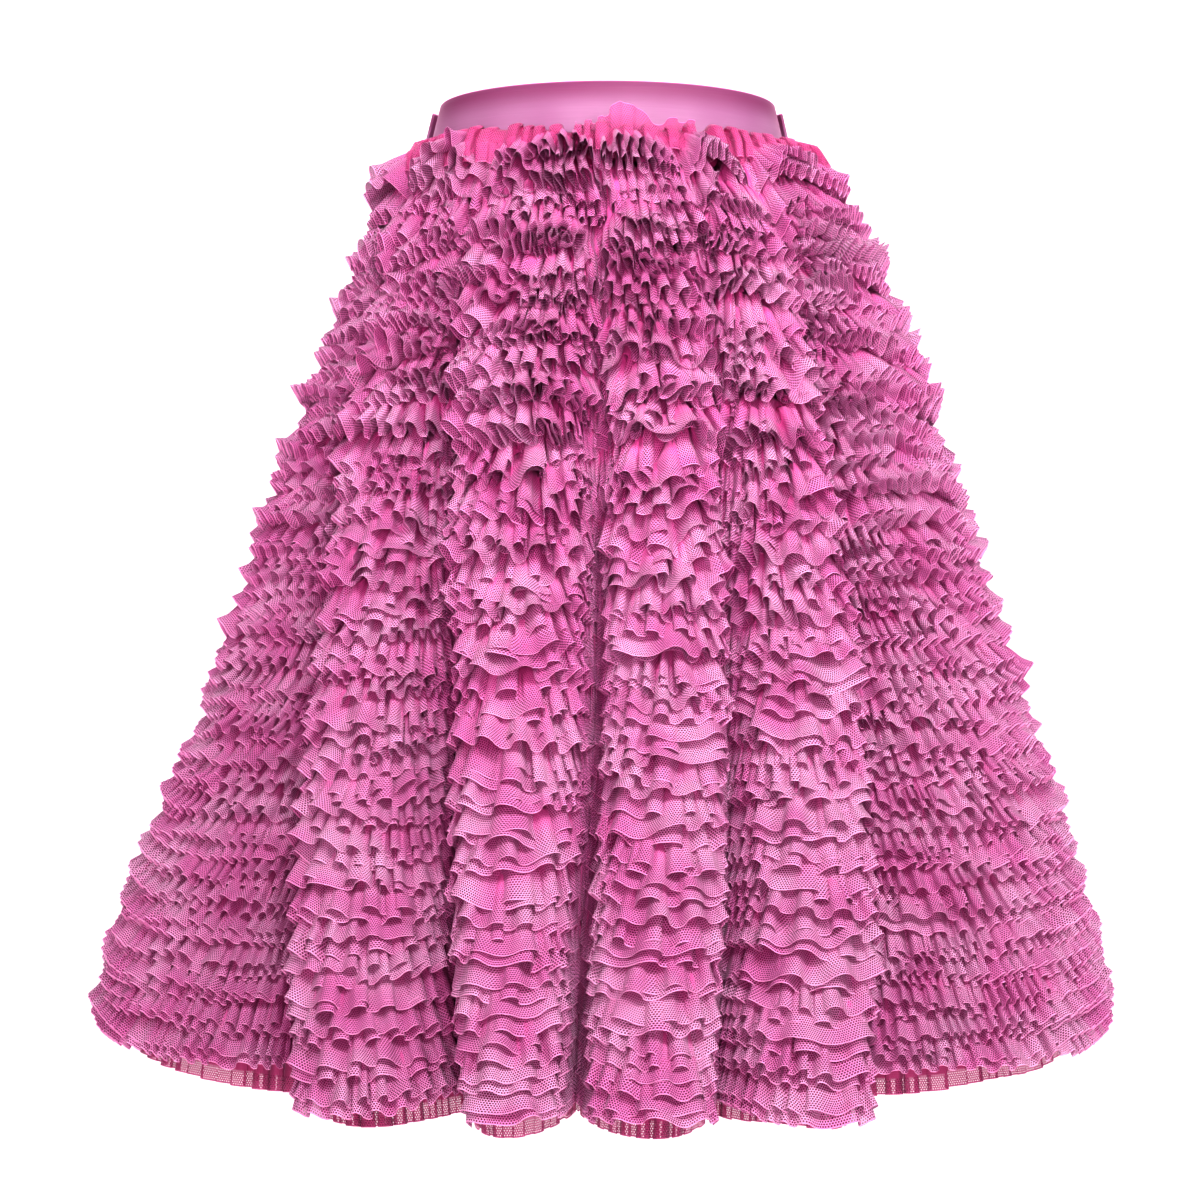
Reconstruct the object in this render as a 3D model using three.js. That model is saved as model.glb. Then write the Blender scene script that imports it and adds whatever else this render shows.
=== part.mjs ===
// A mid-length tulle skirt as it hangs from a waist: a smooth waistband in a front and a back piece,
// a net foundation skirt in a front and a back panel, and thirty-four gathered ruffles sewn round it.
// Millimetres, +Z up, the front facing -Y. The origin is the middle of the waist, halfway up the band.
import * as THREE from "three";

// Driving sizes
const BAND_HEIGHT = 42;
const BAND_THICKNESS = 2.6;
const BAND_TOP = { halfWidth: 133, halfDepth: 96 };
const BAND_BOTTOM = { halfWidth: 143, halfDepth: 104 };
const BAND_BACK_BULGE = 9; // how far the back band stands out beside the front one
const BAND_BULGE_WIDTH = 9; // degrees over which that dies away
const SKIRT_DROP = 694; // from the band's lower edge to the foundation's hem
const WALL = 1.6; // cloth thickness, measured level
const SEAM_GAP = 0.3;
const RUFFLE_COUNT = 34;
const RUFFLE_WALL = 2.3;
const RUFFLE_GAP = 0.6; // between the foundation and a ruffle's gathered edge
const RUFFLE_FALL = 38; // how far a ruffle's free edge hangs below its seam
const RUFFLE_FLARE = 24; // how far the free edge stands off the foundation
const RUFFLE_FIRST_DROP = 3; // first seam, below the band's lower edge
const RUFFLE_LAST_DROP = 641; // last seam
const EDGE_LIFT = 8; // the free edge rises this much in the valleys between folds
const SIDE_RISE = 32; // the hem is this much higher at the sides than at the front and back
const WAVED_RUFFLES = 6; // the crowded ruffles over the hips, whose free edges are waved
const WAVE = 5; // how far their waves swing out and in
const FOLD_ROUNDNESS = 0.7; // under 1 gives round crests and sharp valleys
const SIDE_SEAM = 98; // degrees from the centre front

// The skirt's sections: the ellipse round the crests of its folds, how far it hangs to the right, and the
// depth of the folds.
const SECTIONS = [
  { drop: 0, halfWidth: 141, halfDepth: 102, shift: 0, fold: 0 },
  { drop: 29, halfWidth: 160, halfDepth: 125, shift: 3, fold: 2 },
  { drop: 80, halfWidth: 175, halfDepth: 144, shift: 7, fold: 9 },
  { drop: 180, halfWidth: 212, halfDepth: 184, shift: 8, fold: 28 },
  { drop: 255, halfWidth: 237, halfDepth: 211, shift: 8, fold: 41 },
  { drop: 330, halfWidth: 262, halfDepth: 237, shift: 9, fold: 51 },
  { drop: 420, halfWidth: 292, halfDepth: 265, shift: 9, fold: 60 },
  { drop: 510, halfWidth: 324, halfDepth: 291, shift: 5, fold: 67 },
  { drop: 600, halfWidth: 355, halfDepth: 315, shift: -1, fold: 72 },
  { drop: SKIRT_DROP, halfWidth: 379, halfDepth: 338, shift: -4, fold: 76 },
];

// The valleys between the large folds, in degrees from the centre front towards +X, at the hip and at
// the hem. Depth is a share of the section's fold depth, and steps is how finely the next fold is drawn.
const VALLEYS = [
  { atHip: -SIDE_SEAM, atHem: -SIDE_SEAM, depth: 0.55, steps: 5 },
  { atHip: -72, atHem: -36.5, depth: 1, steps: 4 },
  { atHip: -43, atHem: -16, depth: 1, steps: 4 },
  { atHip: -5, atHem: -3.4, depth: 1.1, steps: 4 },
  { atHip: 23, atHem: 13.5, depth: 1, steps: 4 },
  { atHip: 47, atHem: 31.5, depth: 1.1, steps: 5 },
  { atHip: SIDE_SEAM, atHem: SIDE_SEAM, depth: 0.55, steps: 5 },
  { atHip: 134, atHem: 146, depth: 1, steps: 4 },
  { atHip: 156, atHem: 165, depth: 1, steps: 4 },
  { atHip: 179, atHem: 181, depth: 1.1, steps: 4 },
  { atHip: 203, atHem: 196, depth: 1, steps: 4 },
  { atHip: 227, atHem: 213, depth: 1, steps: 5 },
];
const FRONT_FOLDS = 6; // folds from one side seam round the front to the other

const NET_COLOUR = 0xd568a4;
const BAND_COLOUR = 0xdf8bbd;

const lerp = THREE.MathUtils.lerp;

// One column for each place round the skirt that is drawn: a fold's number and the share of its width.
function columnsOf(firstFold, foldCount, closed) {
  const columns = [];
  for (let fold = firstFold; fold < firstFold + foldCount; fold++) {
    for (let step = 0; step < VALLEYS[fold].steps; step++) {
      columns.push({ fold, share: step / VALLEYS[fold].steps });
    }
  }
  if (!closed) {
    columns.push({ fold: firstFold + foldCount - 1, share: 1 });
  }
  return columns;
}

// The angle of a column, the height of its fold there (0 in a valley, 1 on a crest) and how deep the
// valleys beside it are.
function foldAt(column, drop) {
  const start = VALLEYS[column.fold];
  const end = VALLEYS[(column.fold + 1) % VALLEYS.length];
  const turn = end === VALLEYS[0] ? 360 : 0;
  const fall = drop / SKIRT_DROP;
  const from = lerp(start.atHip, start.atHem, fall);
  const to = lerp(end.atHip, end.atHem, fall) + turn;
  return {
    angle: THREE.MathUtils.degToRad(lerp(from, to, column.share)),
    rise: Math.sin(Math.PI * column.share) ** FOLD_ROUNDNESS,
    depth: lerp(start.depth, end.depth, column.share),
  };
}

// A point of the folded skirt on one of the table's sections, moved out by standOff.
function sectionPoint(section, column, standOff, lift) {
  const { angle, rise, depth } = foldAt(column, section.drop);
  const reach = standOff - section.fold * depth * (1 - rise);
  const sideRise = SIDE_RISE * (section.drop / SKIRT_DROP) ** 2 * Math.sin(angle) ** 4;
  return new THREE.Vector3(
    section.shift + (section.halfWidth + reach) * Math.sin(angle),
    -(section.halfDepth + reach) * Math.cos(angle),
    -BAND_HEIGHT / 2 - section.drop + sideRise + lift * (1 - rise),
  );
}

// The same at any drop below the band's lower edge, on the straight line between two sections.
function skirtPoint(column, drop, standOff, lift = 0) {
  const last = SECTIONS.length - 2;
  const found = SECTIONS.findIndex((row, i) => i <= last && drop <= SECTIONS[i + 1].drop);
  const i = found < 0 ? last : found;
  const [upper, lower] = [SECTIONS[i], SECTIONS[i + 1]];
  const share = (drop - upper.drop) / (lower.drop - upper.drop);
  const top = sectionPoint(upper, column, standOff, lift);
  return top.lerp(sectionPoint(lower, column, standOff, lift), share);
}

// A row of points moved out by the same distance all along, mitred at each fold. The ends of an open row
// move straight away from the axis, so that two panels still meet face to face.
function offsetRow(row, distance, closed) {
  const count = row.length;
  const normalOf = (from, to) => new THREE.Vector3(to.y - from.y, from.x - to.x, 0).normalize();
  return row.map((point, i) => {
    const isEnd = !closed && (i === 0 || i === count - 1);
    const before = i === 0 && !closed ? point : row[(i + count - 1) % count];
    const after = i === count - 1 && !closed ? point : row[(i + 1) % count];
    const normal = normalOf(before, before === point ? after : point);
    const mitre = isEnd
      ? new THREE.Vector3(point.x, point.y, 0).normalize()
      : normal.clone().add(normalOf(point, after)).normalize();
    return point.clone().addScaledVector(mitre, distance / mitre.dot(normal));
  });
}

// A closed wall between an outer and an inner sheet of points, both listed row by row downwards and
// anticlockwise seen from above. An open wall also gets its two upright ends.
function wallGeometry(outer, inner, closed) {
  const rows = outer.length;
  const columns = outer[0].length;
  const points = [...outer.flat(), ...inner.flat()];
  const outerAt = (row, column) => row * columns + (column % columns);
  const innerAt = (row, column) => rows * columns + outerAt(row, column);
  const faces = [];
  // A bent quad folds along its inner diagonal, which keeps a panel inside what is sewn on it. The faces
  // of an inner sheet look inwards, so facing is -1 there.
  const quad = (a, b, c, d, facing = 1) => {
    const [pa, pb, pc, pd] = [a, b, c, d].map((i) => points[i]);
    const normal = pc.clone().sub(pa).cross(pd.clone().sub(pb));
    const apart = pa.clone().add(pc).sub(pb).sub(pd);
    if (apart.dot(normal) * facing <= 0) faces.push(a, b, c, a, c, d);
    else faces.push(b, c, d, b, d, a);
  };
  const spans = closed ? columns : columns - 1;
  for (let column = 0; column < spans; column++) {
    const next = column + 1;
    for (let row = 0; row < rows - 1; row++) {
      quad(outerAt(row, column), outerAt(row + 1, column), outerAt(row + 1, next), outerAt(row, next));
      quad(innerAt(row, next), innerAt(row + 1, next), innerAt(row + 1, column), innerAt(row, column), -1);
    }
    const last = rows - 1;
    quad(innerAt(0, column), outerAt(0, column), outerAt(0, next), innerAt(0, next));
    quad(outerAt(last, column), innerAt(last, column), innerAt(last, next), outerAt(last, next));
  }
  if (!closed) {
    const end = columns - 1;
    for (let row = 0; row < rows - 1; row++) {
      quad(innerAt(row, 0), innerAt(row + 1, 0), outerAt(row + 1, 0), outerAt(row, 0));
      quad(outerAt(row, end), outerAt(row + 1, end), innerAt(row + 1, end), innerAt(row, end));
    }
  }
  const geometry = new THREE.BufferGeometry().setFromPoints(points);
  geometry.setIndex(faces);
  geometry.computeVertexNormals();
  return geometry;
}

function namedMesh(name, geometry, material) {
  const mesh = new THREE.Mesh(geometry, material);
  mesh.name = name;
  return mesh;
}

// Moves a panel's end column in by half the seam gap, so that two panels stay apart at the side seam.
function openSeam(row) {
  const inset = (end, neighbour) => {
    const along = neighbour.clone().sub(end).setZ(0).normalize();
    end.addScaledVector(along, SEAM_GAP / 2);
  };
  inset(row[0], row[1]);
  inset(row[row.length - 1], row[row.length - 2]);
  return row;
}

// One foundation panel, from its side seam to the other, hanging just under the band.
function foundationPanel(name, firstFold, material) {
  const columns = columnsOf(firstFold, FRONT_FOLDS, false);
  const drops = SECTIONS.map((row) => Math.max(row.drop, SEAM_GAP));
  const outer = drops.map((drop) => columns.map((column) => skirtPoint(column, drop, 0)));
  const inner = outer.map((row) => offsetRow(row, -WALL, false));
  return namedMesh(name, wallGeometry(outer.map(openSeam), inner.map(openSeam), false), material);
}

// One ruffle: a ring that starts on the foundation's own points and flares out to its free edge.
function ruffle(index, material) {
  const seam = lerp(RUFFLE_FIRST_DROP, RUFFLE_LAST_DROP, index / (RUFFLE_COUNT - 1));
  const columns = columnsOf(0, VALLEYS.length, true);
  const wave = index < WAVED_RUFFLES ? WAVE : 0;
  const inner = [
    columns.map((column) => skirtPoint(column, seam, RUFFLE_GAP)),
    columns.map((column, i) => {
      const swing = i % 2 ? wave : -wave;
      return skirtPoint(column, seam + RUFFLE_FALL, RUFFLE_FLARE + swing, EDGE_LIFT);
    }),
  ];
  const outer = inner.map((row) => offsetRow(row, RUFFLE_WALL, true));
  const number = String(index + 1).padStart(2, "0");
  return namedMesh(`ruffle_${number}`, wallGeometry(outer, inner, true), material);
}

// One band piece. The back one bulges past the front one beside the side seams, where it shows.
function bandPiece(name, from, to, bulge, material) {
  const steps = 26;
  const angles = Array.from({ length: steps + 1 }, (_, i) => lerp(from, to, i / steps));
  const sheet = (inward) =>
    [BAND_TOP, BAND_BOTTOM].map((rim, row) => {
      const height = row ? -BAND_HEIGHT / 2 : BAND_HEIGHT / 2;
      const ring = angles.map((degrees) => {
        const beside = Math.min(degrees - from, to - degrees) / BAND_BULGE_WIDTH;
        const reach = bulge * Math.exp(-beside * beside) - inward;
        const angle = THREE.MathUtils.degToRad(degrees);
        return new THREE.Vector3(
          (rim.halfWidth + reach) * Math.sin(angle),
          -(rim.halfDepth + reach) * Math.cos(angle),
          height,
        );
      });
      return openSeam(ring);
    });
  return namedMesh(name, wallGeometry(sheet(0), sheet(BAND_THICKNESS), false), material);
}

const net = new THREE.MeshStandardMaterial({ color: NET_COLOUR, roughness: 0.9, metalness: 0 });
const ribbon = new THREE.MeshStandardMaterial({ color: BAND_COLOUR, roughness: 0.55, metalness: 0 });

const skirt = new THREE.Group();
skirt.add(bandPiece("waistband_front", -SIDE_SEAM, SIDE_SEAM, 0, ribbon));
skirt.add(bandPiece("waistband_back", SIDE_SEAM, 360 - SIDE_SEAM, BAND_BACK_BULGE, ribbon));
skirt.add(foundationPanel("foundation_front", 0, net));
skirt.add(foundationPanel("foundation_back", FRONT_FOLDS, net));
for (let index = 0; index < RUFFLE_COUNT; index++) {
  skirt.add(ruffle(index, net));
}

export default skirt;
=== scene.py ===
# A full tulle skirt as it hangs from a waist: a ribbon band, a net foundation in large soft folds, and
# gathered ruffles of folded net sewn round it from the waist to the hem. Metres, +Z up, front to -Y.
import math

import bpy
import numpy as np
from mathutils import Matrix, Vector


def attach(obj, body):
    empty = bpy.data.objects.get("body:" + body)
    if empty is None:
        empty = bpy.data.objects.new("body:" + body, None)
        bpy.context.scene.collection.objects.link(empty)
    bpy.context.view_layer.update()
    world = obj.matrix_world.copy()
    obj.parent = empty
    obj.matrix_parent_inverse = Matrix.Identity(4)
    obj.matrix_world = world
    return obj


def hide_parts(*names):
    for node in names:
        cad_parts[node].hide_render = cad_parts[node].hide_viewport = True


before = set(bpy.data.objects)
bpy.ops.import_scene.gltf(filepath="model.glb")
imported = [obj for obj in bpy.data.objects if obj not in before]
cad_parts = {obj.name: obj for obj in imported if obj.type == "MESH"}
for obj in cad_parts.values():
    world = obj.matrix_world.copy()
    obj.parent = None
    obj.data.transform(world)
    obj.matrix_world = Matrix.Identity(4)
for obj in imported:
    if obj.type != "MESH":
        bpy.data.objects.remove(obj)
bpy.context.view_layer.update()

# Sizes shared with the solids
BAND_HEIGHT = 0.042
BAND_THICKNESS = 0.0026
BAND_TOP = (0.133, 0.096)  # half width and half depth of the rim
BAND_BOTTOM = (0.143, 0.104)
BAND_BACK_BULGE = 0.009
BAND_BULGE_WIDTH = 9  # degrees
SKIRT_DROP = 0.694
SEAM_GAP = 0.0003
RUFFLE_COUNT = 34
RUFFLE_FIRST_DROP = 0.003
RUFFLE_LAST_DROP = 0.641
SIDE_RISE = 0.032  # the hem is this much higher at the sides
FOLD_ROUNDNESS = 0.7
SIDE_SEAM = 98  # degrees

# The foundation's sections: drop below the band, half width, half depth, shift to the right and depth of
# the folds
SECTIONS = np.array([
    (0.000, 0.141, 0.102, 0.000, 0.000),
    (0.029, 0.160, 0.125, 0.003, 0.002),
    (0.080, 0.175, 0.144, 0.007, 0.009),
    (0.180, 0.212, 0.184, 0.008, 0.028),
    (0.255, 0.237, 0.211, 0.008, 0.041),
    (0.330, 0.262, 0.237, 0.009, 0.051),
    (0.420, 0.292, 0.265, 0.009, 0.060),
    (0.510, 0.324, 0.291, 0.005, 0.067),
    (0.600, 0.355, 0.315, -0.001, 0.072),
    (SKIRT_DROP, 0.379, 0.338, -0.004, 0.076),
])

# The valleys between the folds: degrees from the centre front at the hip and at the hem, and depth
VALLEYS = np.array([
    (-SIDE_SEAM, -SIDE_SEAM, 0.55),
    (-72, -36.5, 1),
    (-43, -16, 1),
    (-5, -3.4, 1.1),
    (23, 13.5, 1),
    (47, 31.5, 1.1),
    (SIDE_SEAM, SIDE_SEAM, 0.55),
    (134, 146, 1),
    (156, 165, 1),
    (179, 181, 1.1),
    (203, 196, 1),
    (227, 213, 1),
    (360 - SIDE_SEAM, 360 - SIDE_SEAM, 0.55),
])
FOLDS = len(VALLEYS) - 1
FRONT_FOLDS = 6

# How the ruffles are gathered, from the waist (0) to the hem (1): the width of a gather, how far it
# swings out and in, how far its flanks bulge over their neighbours, how far it leans sideways and how far
# it tips up, both as a share of its swing, how far the free edge stands off, how unruly it is, and how
# much wider its gathers are on the crests than between them
GATHERS = np.array([
    (0.00, 0.0090, 0.0042, 0.0020, 0.6, 1.1, 0.025, 0.5, 0.10),
    (0.03, 0.0084, 0.0038, 0.0020, 0.7, 1.2, 0.014, 0.8, 0.15),
    (0.07, 0.0082, 0.0038, 0.0020, 0.7, 1.2, 0.017, 0.9, 0.20),
    (0.12, 0.0084, 0.0041, 0.0020, 0.8, 1.2, 0.020, 1.0, 0.20),
    (0.30, 0.0088, 0.0043, 0.0018, 0.8, 1.0, 0.021, 0.9, 0.25),
    (0.45, 0.0092, 0.0038, 0.0014, 0.7, 0.8, 0.021, 0.6, 0.30),
    (0.70, 0.0096, 0.0030, 0.0010, 0.6, 0.6, 0.020, 0.4, 0.30),
    (1.00, 0.0100, 0.0028, 0.0009, 0.5, 0.6, 0.020, 0.3, 0.30),
])
COLUMNS_PER_GATHER = 8.4
STRIP_OUTER = 0.046  # from the seam to the outer free edge
STRIP_INNER = 0.052  # and to the inner one, which shows below it
OUTER_SHARES = (1, 0.8, 0.55, 0.25, 0)
INNER_SHARES = (0.55, 1)
INNER_CLOSENESS = 0.86  # how far the inner layer stands off, as a share of the outer one's
VALLEY_MOUTH = 0.030  # half the width of a valley at its mouth
VALLEY_SHARES = (0.15, 0.76)  # of the way to its middle that a ruffle may reach: deep in it, at its mouth
VALLEY_CURVE = 1.5  # how that share grows on the way out: 1 is evenly, more is later
VALLEY_LIFT = 0.014  # the free edges rise this much in the valleys
SOFT_TURN = 0.004  # a ruffle's directions turn over at least this length
STAND_OFF = 0.0035  # from the foundation to a ruffle's seam
FORM_DROP = 0.02  # this far below its seam, a ruffle takes its directions from the foundation
SLOPE_STEP = 0.01  # and its slope over this length
FLARE_CURVES = (0.85, 0.6)  # of an even and an unruly ruffle: 1 is straight, less turns out sooner
LEAST_REACH = 0.002  # out from the seam, however narrow the valley is
LEAST_FALL = 0.25  # of its length, at least this share goes down
LEAST_SLANT = 0.05  # of a ruffle across its valley
CURL_SHARE = 0.2  # the last share of its length, in which a ruffle turns out
EDGE_CURL = 0.006  # how far an unruly one does so
EDGE_CRINKLE = 0.0030  # how far its free edge goes up and down besides
CRINKLE_GATHERS = 0.6  # over how many gathers
GATHERS_AT_SEAM = 0.67  # how deep the gathers are where they are sewn, as a share of the free edge's
GATHER_GROWTH = 0.7  # how they deepen below it: 1 is evenly, less is sooner
SWING_IN_VALLEYS = 0.5  # how strongly gathers get shallower where a ruffle is squeezed
SWING_WITH_WIDTH = 0.3  # and deeper where they are wider
FOLD_SHARPNESS = 0.85  # 1 would make every gather a sharp fold
GATHER_WIDTHS = (0.6, 0.4, 1.9)  # the least, the mean of what is added, and the most, in mean widths
FRILL_SEED = 400

# How uneven a ruffle is: the length over which a thing changes, and how much
SEAM_WANDERS = (0.12, 0.0015)  # up and down
EASE_CHANGES = (0.06, 0.3)  # how wide the gathers are
LEANING = (0.09, 2)  # to one side or the other, fully where it is 1 or more
LENGTH_CHANGES = (0.04, 0.035)

# The length again, how much a thing changes on an even ruffle, and how much more on an unruly one
LOOSENESS_WIDE = (0.06, 0, 0.5)  # how far the free edge stands off
LOOSENESS_NARROW = (0.025, 0.1, 0.12)
DRIFT = (0.05, 0.003, 0.004)  # sideways, all down the ruffle
HITCH = (0.045, 0, 0.010)  # up and down
FAN = (0.030, 0, 0.008)  # sideways, more towards the free edge

# Over how many gathers a thing changes, and how much
SWELL_CHANGES = (1.3, 0.45)
PHASE_CHANGES = (2.5, 0.7)
BULGE_CHANGES = (2, 0.5)

# The camera, about level with the middle of the skirt
CAMERA_DISTANCE = 1.75
CAMERA_HEIGHT = -0.377
CAMERA_SIDE = -0.006
CAMERA_PITCH = math.radians(0.26)
CAMERA_LENS = 66.2
CAMERA_SENSOR = 36  # millimetres, as is the lens
FLOOR_HEIGHT = -1.06


def add_camera():
    bpy.ops.object.camera_add(
        location=(CAMERA_SIDE, -CAMERA_DISTANCE, CAMERA_HEIGHT),
        rotation=(math.pi / 2 + CAMERA_PITCH, 0, 0),
    )
    camera = bpy.context.object
    camera.data.lens = CAMERA_LENS
    camera.data.sensor_width = CAMERA_SENSOR
    bpy.context.scene.camera = camera


add_camera()


# Helpers
SAME_POINT = 1e-6  # points closer than this are joined where a ring closes


def lerp(start, end, share):
    return start + (end - start) * share


def srgb(red, green, blue):
    """A colour given as it looks on screen, from 0 to 1, as Blender's linear one."""
    linear = [c / 12.92 if c <= 0.04045 else ((c + 0.055) / 1.055) ** 2.4 for c in (red, green, blue)]
    return (*linear, 1)


def sheet_of_cloth(name, place, across, down, closed=False):
    """A grid of cloth with its points at place[row, column] and its UV map in metres, across[row, column]
    along the strip and down[row, column] across it. A closed one is joined end to end."""
    rows, columns = place.shape[0] - 1, place.shape[1] - 1
    bpy.ops.object.select_all(action="DESELECT")
    bpy.ops.mesh.primitive_grid_add(x_subdivisions=columns, y_subdivisions=rows, size=1, calc_uvs=True)
    cloth = bpy.context.object
    cloth.name = name
    cloth.data.name = name
    mesh = cloth.data
    count = len(mesh.vertices)
    flat = np.zeros(count * 3)
    mesh.vertices.foreach_get("co", flat)
    flat = flat.reshape(-1, 3)
    column = np.rint((flat[:, 0] + 0.5) * columns).astype(int)
    row = np.rint((0.5 - flat[:, 1]) * rows).astype(int)
    mesh.vertices.foreach_set("co", place[row, column].ravel())
    corner = np.zeros(len(mesh.loops), int)
    mesh.loops.foreach_get("vertex_index", corner)
    uv = np.stack([across[row[corner], column[corner]], down[row[corner], column[corner]]], 1)
    mesh.uv_layers[0].data.foreach_set("uv", uv.ravel())
    if closed:
        bpy.ops.object.mode_set(mode="EDIT")
        bpy.ops.mesh.select_all(action="SELECT")
        bpy.ops.mesh.remove_doubles(threshold=SAME_POINT)
        bpy.ops.object.mode_set(mode="OBJECT")
    mesh.update()
    bpy.ops.object.shade_smooth()
    return cloth


def wear(piece, material, nodes=()):
    """Gives a piece its material, its body and the nodes that it stands for."""
    piece.data.materials.clear()
    piece.data.materials.append(material)
    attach(piece, "root")
    if nodes:
        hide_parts(*nodes)


# The foundation's form
FINE_PLACES = 9001  # along which the length round the folds is measured


def skirt_form(where, drop):
    """x, y and z of the foundation at a place round it, counted in folds from the side seam, and a drop."""
    where = np.mod(where, FOLDS)
    fold = np.floor(where).astype(int)
    share = where - fold
    fall = drop / SKIRT_DROP
    start = lerp(VALLEYS[fold, 0], VALLEYS[fold, 1], fall)
    end = lerp(VALLEYS[fold + 1, 0], VALLEYS[fold + 1, 1], fall)
    angle = np.radians(lerp(start, end, share))
    rise = np.sin(np.pi * share) ** FOLD_ROUNDNESS
    depth = lerp(VALLEYS[fold, 2], VALLEYS[fold + 1, 2], share)
    drops, *columns = SECTIONS.T
    half_width, half_depth, shift, fold_depth = (np.interp(drop, drops, column) for column in columns)
    reach = -fold_depth * depth * (1 - rise)
    height = -BAND_HEIGHT / 2 - drop + SIDE_RISE * fall ** 2 * np.sin(angle) ** 4
    return shift + (half_width + reach) * np.sin(angle), -(half_depth + reach) * np.cos(angle), height


def valley_gap(where, drop, x, y):
    """How far a point is from the upright plane through the nearer valley beside it, and that plane's
    direction across."""
    fold = np.floor(np.mod(where, FOLDS)).astype(int)
    fall = drop / SKIRT_DROP
    x = x - np.interp(drop, SECTIONS[:, 0], SECTIONS[:, 3])
    nearest = np.full(len(where), np.inf)
    across_x = np.zeros(len(where))
    across_y = np.zeros(len(where))
    for side in (0, 1):
        angle = np.radians(lerp(VALLEYS[fold + side, 0], VALLEYS[fold + side, 1], fall))
        away = np.abs(x * np.cos(angle) + y * np.sin(angle))
        closer = away < nearest
        nearest = np.where(closer, away, nearest)
        across_x = np.where(closer, np.cos(angle), across_x)
        across_y = np.where(closer, np.sin(angle), across_y)
    return nearest, across_x, across_y


def even_places(drop, count, first=0, last=FOLDS):
    """count + 1 places evenly spaced along the folds, and the length along them."""
    fine = np.linspace(first, last, FINE_PLACES)
    fine[-1] -= 1e-9  # the last place would wrap round to the first
    x, y, _ = skirt_form(fine, np.full(len(fine), drop))
    run = np.concatenate([[0], np.cumsum(np.hypot(np.diff(x), np.diff(y)))])
    return np.interp(np.linspace(0, run[-1], count + 1), run, fine), run[-1]


def blurred(values, width):
    """Values round a closed ring, each made the mean of its neighbours, twice."""
    for _ in range(2):
        values = sum(np.roll(values, k) for k in range(-width, width + 1)) / (2 * width + 1)
    return values


def ring_noise(dice, along, around, step, amount=1):
    """Smooth random values from -amount to amount round a closed ring, with a knot every step metres."""
    knots = max(3, round(around / step))
    values = dice.uniform(-1, 1, knots)
    place = along / around * knots
    knot = np.floor(place).astype(int)
    share = place - knot
    share = share * share * (3 - 2 * share)
    return amount * lerp(values[knot % knots], values[(knot + 1) % knots], share)


def gather_phase(dice, along, around, mean, ease=1.0):
    """The phase of uneven gathers round a ring, one turn for each. They are wider where ease is larger."""
    crowding = np.cumsum(np.ones(len(along)) / ease)
    crowding = (crowding - crowding[0]) / (crowding[-1] - crowding[0])
    count = round(around / mean)
    least, added, most = GATHER_WIDTHS
    widths = np.minimum(least + dice.exponential(added, count), most)
    knots = np.concatenate([[0], np.cumsum(widths)]) / widths.sum()
    last = along[-1] / around
    return 2 * np.pi * np.interp(crowding * last, knots, np.arange(count + 1))


def run_length(line):
    """The length along a line of points, from 0 at its first."""
    return np.concatenate([[0], np.cumsum(np.linalg.norm(np.diff(line, axis=0), axis=1))])


# The ruffles
def hanging_layer(shares, strip, closeness, seam, places, frame_of, gather, dice):
    """The points of one layer of a ruffle at the given shares of its length below the seam."""
    where, along, around = places
    normal_x, normal_y, limit, slope, rise, ease = frame_of
    width, swell, bulge, lean, tip, flare, unruly, phase = gather

    def uneven(step, even, more=0, share=1):
        return ring_noise(dice, along, around, step, (even + more * unruly) * share)

    def between_gathers(gathers, amount):
        return ring_noise(dice, along, around, gathers * width, amount)

    looseness = 1 + uneven(*LOOSENESS_WIDE) + uneven(*LOOSENESS_NARROW)
    wanted = flare * closeness * looseness
    reach = (wanted ** -3 + np.maximum(limit, LEAST_REACH) ** -3) ** (-1 / 3)  # just under the smaller one
    squeeze = reach / wanted
    strength = 1 + between_gathers(*SWELL_CHANGES)
    turn = phase + between_gathers(*PHASE_CHANGES)
    swing = swell * strength * squeeze ** SWING_IN_VALLEYS * ease ** SWING_WITH_WIDTH
    swing = swing * np.arcsin(FOLD_SHARPNESS * np.cos(turn)) / math.asin(FOLD_SHARPNESS)
    overlap = bulge * (1 + between_gathers(*BULGE_CHANGES)) * squeeze * ease
    drift = uneven(*DRIFT)
    tilt = lean * np.clip(uneven(*LEANING), -1, 1)
    sideways = overlap * np.sin(2 * turn) + tilt * swing + drift
    length = strip * (1 + uneven(*LENGTH_CHANGES))
    raised = tip * swing
    hitch = uneven(*HITCH)
    fan = uneven(*FAN, share=squeeze)
    crinkle = uneven(CRINKLE_GATHERS * width, 0, EDGE_CRINKLE, share=squeeze)
    rows = []
    stood, hung, before = np.zeros(len(where)), np.zeros(len(where)), 0
    for share in shares:
        grown = lerp(GATHERS_AT_SEAM, 1, share ** GATHER_GROWTH)
        curl = EDGE_CURL * unruly * squeeze * max(0, share - (1 - CURL_SHARE)) / CURL_SHARE
        out = reach * share ** lerp(*FLARE_CURVES, unruly) + curl + swing * grown
        step = length * (share - before)
        move = out - stood
        inside = (slope * move) ** 2 - (1 + slope ** 2) * (move ** 2 - step ** 2)
        fall = np.sqrt(np.maximum(inside, (LEAST_FALL * step) ** 2))
        hung = hung + (-slope * move + fall) / (1 + slope ** 2)
        stood, before = out, share
        x, y, height = skirt_form(where, seam + hung)
        away = STAND_OFF + out
        side = sideways * grown + fan * share
        height = height + (VALLEY_LIFT * (1 - rise) + hitch) * share
        rows.append(np.stack([
            x + normal_x * away - normal_y * side,
            y + normal_y * away + normal_x * side,
            height + raised * grown + crinkle * share ** 2,
        ], 1))
    return rows


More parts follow.
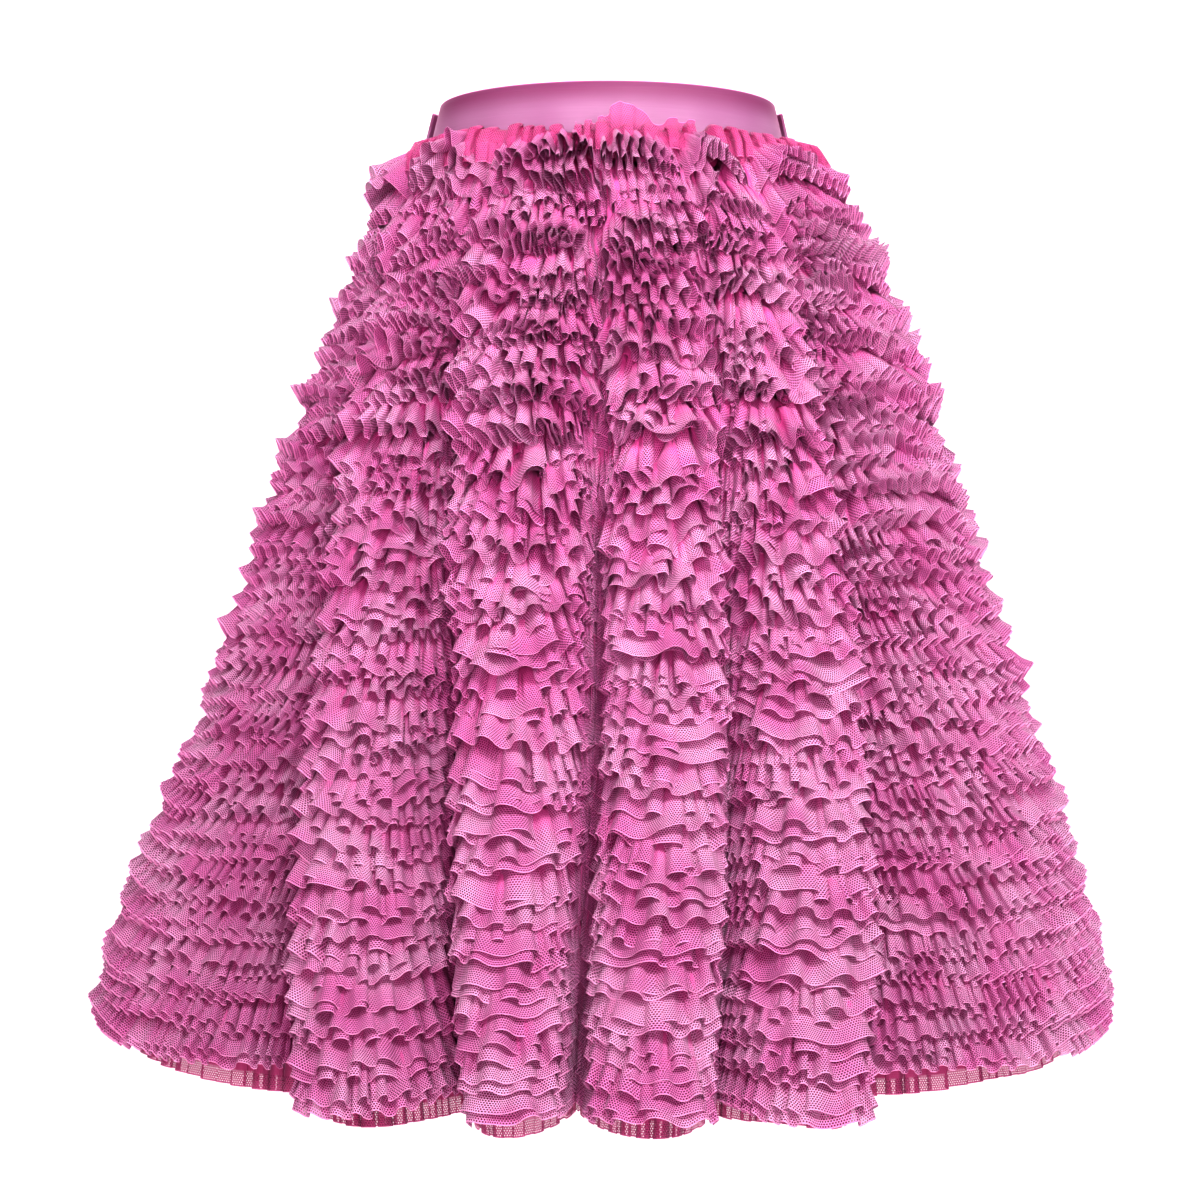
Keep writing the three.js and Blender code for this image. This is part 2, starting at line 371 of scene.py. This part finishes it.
def ruffle(index, material):
    """One strip of net, folded double along its seam, gathered and hanging in two layers."""
    level = index / (RUFFLE_COUNT - 1)
    drop = lerp(RUFFLE_FIRST_DROP, RUFFLE_LAST_DROP, level)
    dice = np.random.default_rng(FRILL_SEED + index)
    width, *shape, spread = (np.interp(level, GATHERS[:, 0], column) for column in GATHERS.T[1:])
    _, around = even_places(drop + FORM_DROP, 1)
    columns = round(around / width * COLUMNS_PER_GATHER)
    where, _ = even_places(drop + FORM_DROP, columns)
    where = where[:-1]
    along = np.arange(columns) / columns * around
    seam = drop + ring_noise(dice, along, around, *SEAM_WANDERS)

    x, y, _ = skirt_form(where, seam + FORM_DROP)
    tangent_x, tangent_y = np.roll(x, -1) - np.roll(x, 1), np.roll(y, -1) - np.roll(y, 1)
    size = np.hypot(tangent_x, tangent_y)
    soft = max(2, round(SOFT_TURN / (around / columns)))
    normal_x, normal_y = blurred(tangent_y / size, soft), blurred(-tangent_x / size, soft)
    size = np.hypot(normal_x, normal_y)
    normal_x, normal_y = normal_x / size, normal_y / size
    gap, across_x, across_y = valley_gap(where, seam + FORM_DROP, x, y)
    allowed = lerp(*VALLEY_SHARES, np.clip(gap / VALLEY_MOUTH, 0, 1) ** VALLEY_CURVE)
    slant = np.abs(normal_x * across_x + normal_y * across_y)
    limit = allowed * gap / np.maximum(slant, LEAST_SLANT)
    lower_x, lower_y, _ = skirt_form(where, seam + (FORM_DROP + SLOPE_STEP))
    slope = ((lower_x - x) * normal_x + (lower_y - y) * normal_y) / SLOPE_STEP
    share = where - np.floor(where)
    rise = np.sin(np.pi * share) ** FOLD_ROUNDNESS
    ease = 1 + spread * (2 * rise - 1) + ring_noise(dice, along, around, *EASE_CHANGES)
    frame_of = (normal_x, normal_y, limit, slope, rise, ease)

    phase = gather_phase(dice, along, around, width, ease)
    gather = (width, *shape, phase)
    places = (where, along, around)
    given = (seam, places, frame_of, gather, dice)
    outer = hanging_layer(OUTER_SHARES[::-1], STRIP_OUTER, 1, *given)
    inner = hanging_layer((0, *INNER_SHARES), STRIP_INNER, INNER_CLOSENESS, *given)
    place = np.array(outer[::-1] + inner[1:])
    place = np.concatenate([place, place[:, :1]], 1)
    run = (run_length(place[0]) + run_length(place[-1])) / 2
    across = np.broadcast_to(run, place.shape[:2])
    from_edge = [STRIP_OUTER * (1 - share) for share in OUTER_SHARES]
    from_edge += [STRIP_INNER * (1 - share) for share in INNER_SHARES]
    down = np.broadcast_to(np.array(from_edge)[:, None], place.shape[:2])
    number = f"{index + 1:02d}"
    strip = sheet_of_cloth(f"frill_{number}", place, across, down, closed=True)
    wear(strip, material, [f"ruffle_{number}"])
    return strip


# The loose net at the top of the first ruffle: a rim that rolls out over the band's lower edge all round,
# and a tuft at the front that stands up over the band. Both are sewn in at the first ruffle's seam.
LOOSE_STAND_OFF = 0.005  # from the foundation to the seam
LOOSE_AT_SEAM = 0.85  # how deep the gathers are at the seam, as a share of the free edge's
LOOSE_OUT = 0.8  # the share of a gather's swing that goes out and in
LOOSE_UP = 0.6  # the share that goes up and down
LOOSE_BULGE = 0.4  # the share that goes sideways, over its neighbours
LOOSE_PHASE_CHANGES = (0.012, 0.8)  # over what length, and how much
LOOSE_SWELL_CHANGES = (0.011, 0.6)
LOOSE_DRIFT_STEP = 0.02  # over what length it goes to one side or the other
RIM_SEED = 380
RIM_GATHER = 0.012
RIM_COLUMNS = 1100
RIM_SWELL = 0.0042
RIM_PATH = ((0.021, -0.018), (0.020, -0.006), (0.014, 0.004), (0.005, 0.007), (0, 0))  # out, up, edge first
RIM_CHANGES = (0.035, 0.3)  # of its size: over what length, and how much
TUFT_SEED = 379
TUFT_COLUMNS = 200
TUFT_PATH = ((0.006, 1), (0.005, 0.7), (0.003, 0.35), (0, 0))  # out, and up as a share of its height
TUFT_PLACES = (2.86, 4.05)  # counted in folds from the side seam
TUFT_HEIGHT = 0.008
TUFT_GATHER = 0.015
TUFT_SWELL = 0.0022
TUFT_CHANGES = (0.02, 0.4)  # of its height, the same way
TUFT_PEAKS = ((0.012, 0.014, 0.019), (0.048, 0.014, 0.004), (0.088, 0.014, 0.009))  # x, half width, height


def loose_net(name, places, path, width, swell, dice, closed, material):
    """A gathered strip of net from the first ruffle's seam along a path of distances out and up."""
    where, along, around = places
    x, y, base = skirt_form(where, np.full(len(where), RUFFLE_FIRST_DROP))
    size = np.hypot(x / BAND_BOTTOM[0] ** 2, y / BAND_BOTTOM[1] ** 2)
    normal_x, normal_y = x / BAND_BOTTOM[0] ** 2 / size, y / BAND_BOTTOM[1] ** 2 / size
    phase = gather_phase(dice, along, around, width)
    turn = phase + ring_noise(dice, along, around, *LOOSE_PHASE_CHANGES)
    swing = swell * (1 + ring_noise(dice, along, around, *LOOSE_SWELL_CHANGES)) * np.cos(turn)
    drift = swell * ring_noise(dice, along, around, LOOSE_DRIFT_STEP)
    side = LOOSE_BULGE * swell * np.sin(2 * turn) + drift
    rows = []
    for row, (out, up) in enumerate(path):
        grown = lerp(1, LOOSE_AT_SEAM, row / (len(path) - 1))
        lean = LOOSE_STAND_OFF + out + LOOSE_OUT * swing * grown
        rows.append(np.stack([
            x + normal_x * lean - normal_y * side * grown,
            y + normal_y * lean + normal_x * side * grown,
            base + up + LOOSE_UP * swing * grown,
        ], 1))
    place = np.array(rows)
    if closed:
        place = np.concatenate([place, place[:, :1]], 1)
    run = (run_length(place[0]) + run_length(place[-1])) / 2
    across = np.broadcast_to(run, place.shape[:2])
    down = np.stack([run_length(place[:, column]) for column in range(place.shape[1])], 1)
    strip = sheet_of_cloth(name, place, across, down, closed)
    wear(strip, material)
    return strip


def loose_rim(material):
    dice = np.random.default_rng(RIM_SEED)
    where, around = even_places(SEAM_GAP, RIM_COLUMNS)
    along = np.arange(RIM_COLUMNS) / RIM_COLUMNS * around
    size = 1 + ring_noise(dice, along, around, *RIM_CHANGES)
    path = [(out * size, up * size) for out, up in RIM_PATH]
    places = (where[:-1], along, around)
    return loose_net("loose_rim", places, path, RIM_GATHER, RIM_SWELL, dice, True, material)


def loose_tuft(material):
    dice = np.random.default_rng(TUFT_SEED)
    where, around = even_places(SEAM_GAP, TUFT_COLUMNS, *TUFT_PLACES)
    along = np.linspace(0, around, TUFT_COLUMNS + 1)
    x, _, _ = skirt_form(where, np.full(len(where), RUFFLE_FIRST_DROP))
    tall = TUFT_HEIGHT * (1 + ring_noise(dice, along, around, *TUFT_CHANGES))
    for centre, half_width, peak in TUFT_PEAKS:
        tall = tall + peak * np.exp(-((x - centre) / half_width) ** 2)
    path = [(out, share * tall) for out, share in TUFT_PATH]
    places = (where, along, around)
    return loose_net("loose_tuft", places, path, TUFT_GATHER, TUFT_SWELL, dice, False, material)


# The foundation
HEM_SEED = 390
HEM_GATHER = 0.016  # width of the small pleats at the see-through hem
HEM_SWELL = 0.0028
HEM_LEAN = 0.0038
HEM_SWELL_CHANGES = (0.03, 0.5)  # over what length, and how much
HEM_UNEVEN = (0.05, 0.0022)  # up and down, the same way
HEM_SEAM_WIDTH = 0.02  # beside a side seam the pleats fade out over this width
HEM_PLEATS_FROM = 0.60  # drop at which they begin
FOUNDATION_COLUMNS = 1000
FOUNDATION_DROPS = (SEAM_GAP, 0.03, 0.08, 0.16, 0.25, 0.35, 0.45, 0.54, 0.60, 0.64, 0.67, SKIRT_DROP)


def foundation(name, first, material, node):
    """A front or a back net panel, from side seam to side seam, finely pleated at its hem."""
    dice = np.random.default_rng(HEM_SEED + first)
    where, around = even_places(SKIRT_DROP, FOUNDATION_COLUMNS, first, first + FRONT_FOLDS)
    along = np.linspace(0, around, FOUNDATION_COLUMNS + 1)
    phase = gather_phase(dice, along, around, HEM_GATHER)
    strength = 1 + ring_noise(dice, along, around, *HEM_SWELL_CHANGES)
    uneven = ring_noise(dice, along, around, *HEM_UNEVEN)
    rows = []
    for drop in FOUNDATION_DROPS:
        share = max(0, (drop - HEM_PLEATS_FROM) / (SKIRT_DROP - HEM_PLEATS_FROM))
        x, y, height = skirt_form(where, np.full(len(where), drop))
        tangent_x, tangent_y = np.gradient(x), np.gradient(y)
        size = np.hypot(tangent_x, tangent_y)
        tangent_x, tangent_y = tangent_x / size, tangent_y / size
        out = -HEM_SWELL * share * (1 - strength * np.cos(phase)) / 2
        side = HEM_LEAN * share * strength * np.sin(2 * phase)
        from_seam = np.minimum(1, np.minimum(along, around - along) / HEM_SEAM_WIDTH)
        out, side = out * from_seam, side * from_seam
        rows.append(np.stack([
            x + tangent_y * out + tangent_x * side,
            y - tangent_x * out + tangent_y * side,
            height + uneven * share * from_seam,
        ], 1))
    place = np.array(rows)
    run = run_length(place[-1])
    across = np.broadcast_to(run, place.shape[:2])
    down = np.stack([run_length(place[::-1, column])[::-1] for column in range(place.shape[1])], 1)
    panel = sheet_of_cloth(name, place, across, down)
    wear(panel, material, [node])
    return panel


# The band
BAND_COLUMNS = 120
BAND_ROWS = 8
BAND_RIPPLES = ((0.0006, 7, 1), (0.0004, 17, 0))  # of its lower edge: depth, turns round the waist, start
BAND_INSET = 0.0004  # of its outer face from the solid's
BAND_ROUNDING = 0.0009  # of its rims


def band(name, start, end, bulge, material, node):
    """One piece of the ribbon band, with rounded rims."""
    degrees = np.linspace(start, end, BAND_COLUMNS + 1)
    heights = np.linspace(1, 0, BAND_ROWS + 1)
    beside = np.minimum(degrees - start, end - degrees) / BAND_BULGE_WIDTH
    angle = np.radians(degrees)
    ripple = sum(depth * np.sin(angle * turns + first) for depth, turns, first in BAND_RIPPLES)
    place = []
    for height in heights:
        half_width = lerp(BAND_BOTTOM[0], BAND_TOP[0], height)
        half_depth = lerp(BAND_BOTTOM[1], BAND_TOP[1], height)
        reach = bulge * np.exp(-beside ** 2) + ripple * (1 - height) - BAND_INSET
        level = np.full(len(angle), BAND_HEIGHT * (height - 0.5))
        x, y = (half_width + reach) * np.sin(angle), -(half_depth + reach) * np.cos(angle)
        place.append(np.stack([x, y, level], 1))
    place = np.array(place)
    run = run_length(place[BAND_ROWS // 2])
    across = np.broadcast_to(run, place.shape[:2])
    down = np.broadcast_to((BAND_HEIGHT * (1 - heights))[:, None], place.shape[:2])
    ribbon = sheet_of_cloth(name, place, across, down)
    solidify = ribbon.modifiers.new("thickness", "SOLIDIFY")
    solidify.thickness = BAND_THICKNESS
    solidify.offset = -1
    bpy.ops.object.modifier_apply(modifier=solidify.name)
    bevel = ribbon.modifiers.new("rims", "BEVEL")
    bevel.width = BAND_ROUNDING
    bevel.segments = 2
    bevel.limit_method = "ANGLE"
    bpy.ops.object.modifier_apply(modifier=bevel.name)
    wear(ribbon, material, [node])
    return ribbon


# Materials
SHEEN_ROUGHNESS = 0.35
SHEEN_TINT = (1, 0.88, 0.95)
NET_THREADS = (-0.6, 0.4)  # where the sum of three waves, from -1.5 to 3, goes from thread to hole
DYE_SHARES = (0.3, 0.7)  # of the noise, between which the colour goes from light to deep
TULLE_EDGE_BLEND = (0.8, 1.2)  # the painted highlight along the edge fades between these shares of its width
TULLE_DYE_SCALE = 24.0  # patches in a metre
TULLE_PAINTED_SHADE = (0.014, 0.040)  # from the free edge: where other ruffles begin to cover it and the painted shade begins, and where they cover it fully
TULLE_COVER_BLEND = 0.004
TULLE_PLEATS = (330, 22, 1)  # in a metre, along the strip and across it
TULLE_PLEATS_AT_EDGE = 0.25  # how deep they are there, as a share of their full depth
TULLE_PLEATS_FULL = 0.02  # from the free edge
TULLE_BUMP = 0.9
RIBBON_LIGHT = srgb(0.68, 0.56, 0.66)
RIBBON_DEEP = srgb(0.64, 0.49, 0.61)
RIBBON_SHADED = srgb(0.53, 0.29, 0.44)
RIBBON_RIBBED = srgb(0.57, 0.41, 0.53)
RIBBON_RIM_HIGHLIGHT = srgb(0.86, 0.60, 0.76)
RIBBON_RIBS = (25, 900, 1)  # in a metre, along the ribbon and across it
RIBBON_RIB_SHARE = 0.35  # of the ribs' colour
RIBBON_BUMP = 0.35
RIBBON_RIB_DEPTH = 0.0003
RIBBON_DYE_SCALE = 14.0
RIBBON_SHADE = (0.004, 0.024)  # from the upper edge: darkest, and the plain colour again
RIBBON_HIGHLIGHT_SPAN = (0.0004, 0.0016)  # from the upper edge: the painted highlight along the rim, and its end


def new_group(name, inputs, outputs):
    """A shader node group with its sockets, and its input and output nodes."""
    group = bpy.data.node_groups.new(name, "ShaderNodeTree")
    for label, kind, value in inputs:
        socket = group.interface.new_socket(label, in_out="INPUT", socket_type=kind)
        if value is not None:
            socket.default_value = value
    for label, kind in outputs:
        group.interface.new_socket(label, in_out="OUTPUT", socket_type=kind)
    return group, group.nodes.new("NodeGroupInput"), group.nodes.new("NodeGroupOutput")


def math_node(tree, operation, first, second=None):
    node = tree.nodes.new("ShaderNodeMath")
    node.operation = operation
    for socket, value in zip(node.inputs, (first, second)):
        if value is None:
            continue
        if isinstance(value, (int, float)):
            socket.default_value = value
        else:
            tree.links.new(value, socket)
    return node.outputs[0]


def ramp_between(tree, value, low, high, from_low=0.0, from_high=1.0, smooth=True):
    """value mapped from one range to another, clamped."""
    node = tree.nodes.new("ShaderNodeMapRange")
    node.interpolation_type = "SMOOTHSTEP" if smooth else "LINEAR"
    node.clamp = True
    tree.links.new(value, node.inputs["Value"])
    ends = (("From Min", from_low), ("From Max", from_high), ("To Min", low), ("To Max", high))
    for name, amount in ends:
        if isinstance(amount, (int, float)):
            node.inputs[name].default_value = amount
        else:
            tree.links.new(amount, node.inputs[name])
    return node.outputs[0]


def mixed_colour(tree, share, first, second):
    node = tree.nodes.new("ShaderNodeMix")
    node.data_type = "RGBA"
    for socket, value in ((node.inputs[0], share), (node.inputs[6], first), (node.inputs[7], second)):
        if isinstance(value, (int, float, tuple)):
            socket.default_value = value
        else:
            tree.links.new(value, socket)
    return node.outputs[2]


def net_group():
    """Round holes in staggered rows, as in tulle. Thread is 1 on the net's threads and 0 in its holes."""
    group, inside, outside = new_group(
        "tulle_net",
        [("UV", "NodeSocketVector", None), ("Row", "NodeSocketFloat", 0.0016)],
        [("Thread", "NodeSocketFloat")],
    )
    split = group.nodes.new("ShaderNodeSeparateXYZ")
    group.links.new(inside.outputs["UV"], split.inputs[0])
    turns = math_node(group, "DIVIDE", 2 * math.pi, inside.outputs["Row"])
    along = math_node(group, "MULTIPLY", split.outputs[0], turns)
    down = math_node(group, "MULTIPLY", split.outputs[1], turns)
    slanted = math_node(group, "MULTIPLY", along, math.sqrt(3) / 2)
    half = math_node(group, "MULTIPLY", down, 0.5)
    waves = [down, math_node(group, "ADD", slanted, half), math_node(group, "SUBTRACT", slanted, half)]
    waves = [math_node(group, "COSINE", wave) for wave in waves]
    total = math_node(group, "ADD", math_node(group, "ADD", waves[0], waves[1]), waves[2])
    thread = ramp_between(group, total, 1.0, 0.0, *NET_THREADS)
    group.links.new(thread, outside.inputs["Thread"])
    return group


def dye_group():
    """Cloth colour that drifts a little from place to place."""
    group, inside, outside = new_group(
        "dyed_cloth",
        [
            ("Point", "NodeSocketVector", None),
            ("Light", "NodeSocketColor", None),
            ("Deep", "NodeSocketColor", None),
            ("Scale", "NodeSocketFloat", 30.0),
        ],
        [("Colour", "NodeSocketColor")],
    )
    noise = group.nodes.new("ShaderNodeTexNoise")
    noise.inputs["Detail"].default_value = 1
    group.links.new(inside.outputs["Point"], noise.inputs["Vector"])
    group.links.new(inside.outputs["Scale"], noise.inputs["Scale"])
    share = ramp_between(group, noise.outputs["Fac"], 0.0, 1.0, *DYE_SHARES)
    colour = mixed_colour(group, share, inside.outputs["Light"], inside.outputs["Deep"])
    group.links.new(colour, outside.inputs["Colour"])
    return group


NET_GROUP = net_group()
DYE_GROUP = dye_group()


def place_group(tree, group, **values):
    node = tree.nodes.new("ShaderNodeGroup")
    node.node_tree = group
    for name, value in values.items():
        socket = node.inputs[name]
        if isinstance(value, (int, float, tuple)):
            socket.default_value = value
        else:
            tree.links.new(value, socket)
    return node


def new_material(name, roughness, sheen):
    material = bpy.data.materials.new(name)
    material.use_nodes = True
    shader = material.node_tree.nodes["Principled BSDF"]
    shader.inputs["Roughness"].default_value = roughness
    shader.inputs["Sheen Weight"].default_value = sheen
    shader.inputs["Sheen Roughness"].default_value = SHEEN_ROUGHNESS
    shader.inputs["Sheen Tint"].default_value = srgb(*SHEEN_TINT)
    return material, material.node_tree, shader


def tulle(name, light, deep, hole_shade, edge, inside, row, hole_cover, covered_from, edge_width, pleat_depth):
    """Net whose dye drifts from light to deep, with holes in rows and a painted highlight along its free
    edge.
    The holes are painted with the colour of the shade behind them. Near the free edge they are as opaque as
    hole_cover says, and from covered_from on they are closed. Where other ruffles cover it, the cloth turns
    to the inside colour, a painted shade. Fine gathers, pleat_depth deep, run up from the edge to the seam."""
    material, tree, shader = new_material(name, roughness=0.8, sheen=0.25)
    coordinates = tree.nodes.new("ShaderNodeTexCoord")
    split = tree.nodes.new("ShaderNodeSeparateXYZ")
    tree.links.new(coordinates.outputs["UV"], split.inputs[0])
    net = place_group(tree, NET_GROUP, UV=coordinates.outputs["UV"], Row=row)
    dye = place_group(
        tree,
        DYE_GROUP,
        Point=coordinates.outputs["Object"],
        Light=light,
        Deep=deep,
        Scale=TULLE_DYE_SCALE,
    )
    from_edge = split.outputs[1]
    # The free edge is opaque and carries a painted highlight.
    at_edge = ramp_between(tree, from_edge, 1.0, 0.0, *(edge_width * share for share in TULLE_EDGE_BLEND))
    covered = ramp_between(tree, from_edge, 0.0, 1.0, covered_from, covered_from + TULLE_COVER_BLEND)
    threads = math_node(tree, "MAXIMUM", net.outputs["Thread"], at_edge)
    # The colour in the holes is painted shade.
    net_with_shade = mixed_colour(tree, threads, hole_shade, dye.outputs["Colour"])
    # Where other ruffles cover the net, it is painted with the inside colour as shade.
    painted_shade = ramp_between(tree, from_edge, 0.0, 1.0, *TULLE_PAINTED_SHADE)
    net_with_shade = mixed_colour(tree, painted_shade, net_with_shade, inside)
    # The painted highlight along the free edge.
    colour = mixed_colour(tree, at_edge, net_with_shade, edge)
    open_net = ramp_between(tree, threads, hole_cover, 1.0, smooth=False)
    alpha = math_node(tree, "MAXIMUM", open_net, covered)
    tree.links.new(colour, shader.inputs["Base Color"])
    tree.links.new(alpha, shader.inputs["Alpha"])
    stretch = tree.nodes.new("ShaderNodeMapping")
    stretch.inputs["Scale"].default_value = TULLE_PLEATS
    tree.links.new(coordinates.outputs["UV"], stretch.inputs["Vector"])
    gathers = tree.nodes.new("ShaderNodeTexNoise")
    gathers.inputs["Scale"].default_value = 1
    gathers.inputs["Detail"].default_value = 1
    tree.links.new(stretch.outputs[0], gathers.inputs["Vector"])
    fading = ramp_between(tree, from_edge, TULLE_PLEATS_AT_EDGE, 1.0, 0.0, TULLE_PLEATS_FULL)
    bump = tree.nodes.new("ShaderNodeBump")
    bump.inputs["Strength"].default_value = TULLE_BUMP
    bump.inputs["Distance"].default_value = pleat_depth
    height = math_node(tree, "MULTIPLY", gathers.outputs["Fac"], fading)
    tree.links.new(height, bump.inputs["Height"])
    tree.links.new(bump.outputs[0], shader.inputs["Normal"])
    return material


def ribbon_cloth():
    """Plain ribbon with fine ribs along it, darker towards its upper edge, with a painted highlight along
    its rolled rim.
    """
    material, tree, shader = new_material("band_ribbon", roughness=0.55, sheen=0.3)
    coordinates = tree.nodes.new("ShaderNodeTexCoord")
    split = tree.nodes.new("ShaderNodeSeparateXYZ")
    tree.links.new(coordinates.outputs["UV"], split.inputs[0])
    stretch = tree.nodes.new("ShaderNodeMapping")
    stretch.inputs["Scale"].default_value = RIBBON_RIBS
    tree.links.new(coordinates.outputs["UV"], stretch.inputs["Vector"])
    ribs = tree.nodes.new("ShaderNodeTexNoise")
    ribs.inputs["Scale"].default_value = 1
    ribs.inputs["Detail"].default_value = 2
    tree.links.new(stretch.outputs[0], ribs.inputs["Vector"])
    dye = place_group(
        tree,
        DYE_GROUP,
        Point=coordinates.outputs["Object"],
        Light=RIBBON_LIGHT,
        Deep=RIBBON_DEEP,
        Scale=RIBBON_DYE_SCALE,
    )
    upper = ramp_between(tree, split.outputs[1], 1.0, 0.0, *RIBBON_SHADE)
    shaded = mixed_colour(tree, upper, dye.outputs["Colour"], RIBBON_SHADED)
    in_rib = math_node(tree, "MULTIPLY", ribs.outputs["Fac"], RIBBON_RIB_SHARE)
    ribbed = mixed_colour(tree, in_rib, shaded, RIBBON_RIBBED)
    # A painted highlight along the rolled upper rim.
    at_rim_highlight = ramp_between(tree, split.outputs[1], 1.0, 0.0, *RIBBON_HIGHLIGHT_SPAN)
    colour = mixed_colour(tree, at_rim_highlight, ribbed, RIBBON_RIM_HIGHLIGHT)
    tree.links.new(colour, shader.inputs["Base Color"])
    bump = tree.nodes.new("ShaderNodeBump")
    bump.inputs["Strength"].default_value = RIBBON_BUMP
    bump.inputs["Distance"].default_value = RIBBON_RIB_DEPTH
    tree.links.new(ribs.outputs["Fac"], bump.inputs["Height"])
    tree.links.new(bump.outputs[0], shader.inputs["Normal"])
    return material


# In each tulle, the hole colour and the inside colour are painted shade, and the edge colour is a painted
# highlight.
RUFFLE_TULLE = tulle(
    "ruffle_tulle",
    light=srgb(0.91, 0.77, 0.88),
    deep=srgb(0.87, 0.59, 0.79),
    hole_shade=srgb(0.44, 0.02, 0.24),
    edge=srgb(0.96, 0.76, 0.88),
    inside=srgb(0.86, 0.46, 0.70),
    row=0.0016,
    hole_cover=0.7,
    covered_from=0.008,
    edge_width=0.0004,
    pleat_depth=0.0016,
)
LOOSE_TULLE = tulle(
    "loose_tulle",
    light=srgb(0.85, 0.50, 0.69),
    deep=srgb(0.80, 0.40, 0.61),
    hole_shade=srgb(0.72, 0.28, 0.50),
    edge=srgb(0.92, 0.66, 0.80),
    inside=srgb(0.80, 0.34, 0.57),
    row=0.0015,
    hole_cover=0.3,
    covered_from=0.030,
    edge_width=0.0004,
    pleat_depth=0.0010,
)
FOUNDATION_TULLE = tulle(
    "foundation_tulle",
    light=srgb(0.80, 0.46, 0.63),
    deep=srgb(0.76, 0.40, 0.58),
    hole_shade=srgb(0.76, 0.42, 0.58),
    edge=srgb(0.86, 0.58, 0.72),
    inside=srgb(0.86, 0.30, 0.60),
    row=0.0015,
    hole_cover=0.45,
    covered_from=0.008,
    edge_width=0.0005,
    pleat_depth=0.0008,
)
BAND_RIBBON = ribbon_cloth()

band("band_front", -SIDE_SEAM, SIDE_SEAM, 0, BAND_RIBBON, "waistband_front")
band("band_back", SIDE_SEAM, 360 - SIDE_SEAM, BAND_BACK_BULGE, BAND_RIBBON, "waistband_back")
foundation("foundation_net_front", 0, FOUNDATION_TULLE, "foundation_front")
foundation("foundation_net_back", FRONT_FOLDS, FOUNDATION_TULLE, "foundation_back")
for index in range(RUFFLE_COUNT):
    ruffle(index, RUFFLE_TULLE)
loose_rim(LOOSE_TULLE)
loose_tuft(LOOSE_TULLE)


# The studio
FLOOR_SIZE = 9
FLOOR_MIDDLE = (0, -1.5, FLOOR_HEIGHT)
FLOOR_PALENESS = 0.96
FLOOR_ROUGHNESS = 0.9
WALL_HEIGHT = 5
WALL_BEND = 1.4  # radius of the bend between the floor and the wall
WHITE = (1, 1, 1)
PINK = (1, 0.4, 0.7)
COOL_PINK = (1, 0.4, 0.75)
WIDE = 180
NARROW = 32
# Name, place, the point it is aimed at, width, height, watts, colour, and its spread in degrees
LIGHTS = (
    ("key_light", (0.3, -1.6, 0.8), (0, 0, 0), 0.5, 0.5, 25, WHITE, WIDE),
    ("right_light", (1.3, -1.2, 0.4), (0, 0, -0.05), 0.6, 0.6, 19, WHITE, WIDE),
    ("left_light", (-1.3, -1.2, 0.3), (0, 0, -0.05), 0.6, 0.6, 14, WHITE, WIDE),
    ("low_light", (0, -3.6, -0.8), (0, 0, -0.05), 1.5, 0.6, 46, PINK, WIDE),
    ("hip_light", (0, -1.6, -0.1), (0, 0, -0.2), 0.3, 0.3, 0.3, COOL_PINK, NARROW),
    ("wall_light", (0, 1.0, 2.2), (0, 3.6, -0.6), 3.5, 1.0, 130, WHITE, WIDE),
)
WORLD_COLOUR = (1, 0.35, 0.68)
WORLD_STRENGTH = 0.25
VIEW_GAMMA = 0.72


def add_floor():
    """A pale floor that curves up into the wall behind."""
    bpy.ops.object.select_all(action="DESELECT")
    bpy.ops.mesh.primitive_plane_add(size=FLOOR_SIZE, location=FLOOR_MIDDLE)
    floor = bpy.context.object
    floor.name = "floor"
    bpy.ops.object.mode_set(mode="EDIT")
    bpy.ops.mesh.select_all(action="DESELECT")
    bpy.ops.mesh.select_mode(type="EDGE")
    bpy.ops.object.mode_set(mode="OBJECT")
    for edge in floor.data.edges:
        ends = [floor.data.vertices[v].co.y for v in edge.vertices]
        edge.select = min(ends) > 0
    bpy.ops.object.mode_set(mode="EDIT")
    bpy.ops.mesh.extrude_region_move(TRANSFORM_OT_translate={"value": (0, 0, WALL_HEIGHT)})
    bpy.ops.object.mode_set(mode="OBJECT")
    bend = floor.modifiers.new("curve", "BEVEL")
    bend.width = WALL_BEND
    bend.segments = 16
    bend.limit_method = "ANGLE"
    bpy.ops.object.modifier_apply(modifier=bend.name)
    bpy.ops.object.transform_apply(location=True, rotation=False, scale=False)
    bpy.ops.object.shade_smooth()
    material = bpy.data.materials.new("pale_floor")
    material.use_nodes = True
    shader = material.node_tree.nodes["Principled BSDF"]
    shader.inputs["Base Color"].default_value = srgb(FLOOR_PALENESS, FLOOR_PALENESS, FLOOR_PALENESS)
    shader.inputs["Roughness"].default_value = FLOOR_ROUGHNESS
    floor.data.materials.append(material)


def add_light(name, place, target, width, height, power, colour, spread):
    bpy.ops.object.light_add(type="AREA", location=place)
    lamp = bpy.context.object
    lamp.name = name
    lamp.data.shape = "RECTANGLE"
    lamp.data.size = width
    lamp.data.size_y = height
    lamp.data.energy = power
    lamp.data.color = colour
    lamp.data.spread = math.radians(spread)
    lamp.rotation_euler = (Vector(target) - Vector(place)).to_track_quat("-Z", "Y").to_euler()


add_floor()
for light in LIGHTS:
    add_light(*light)

world = bpy.data.worlds.new("studio")
world.use_nodes = True
world.node_tree.nodes["Background"].inputs["Color"].default_value = srgb(*WORLD_COLOUR)
world.node_tree.nodes["Background"].inputs["Strength"].default_value = WORLD_STRENGTH
bpy.context.scene.world = world
bpy.context.scene.view_settings.view_transform = "Standard"
bpy.context.scene.view_settings.gamma = VIEW_GAMMA
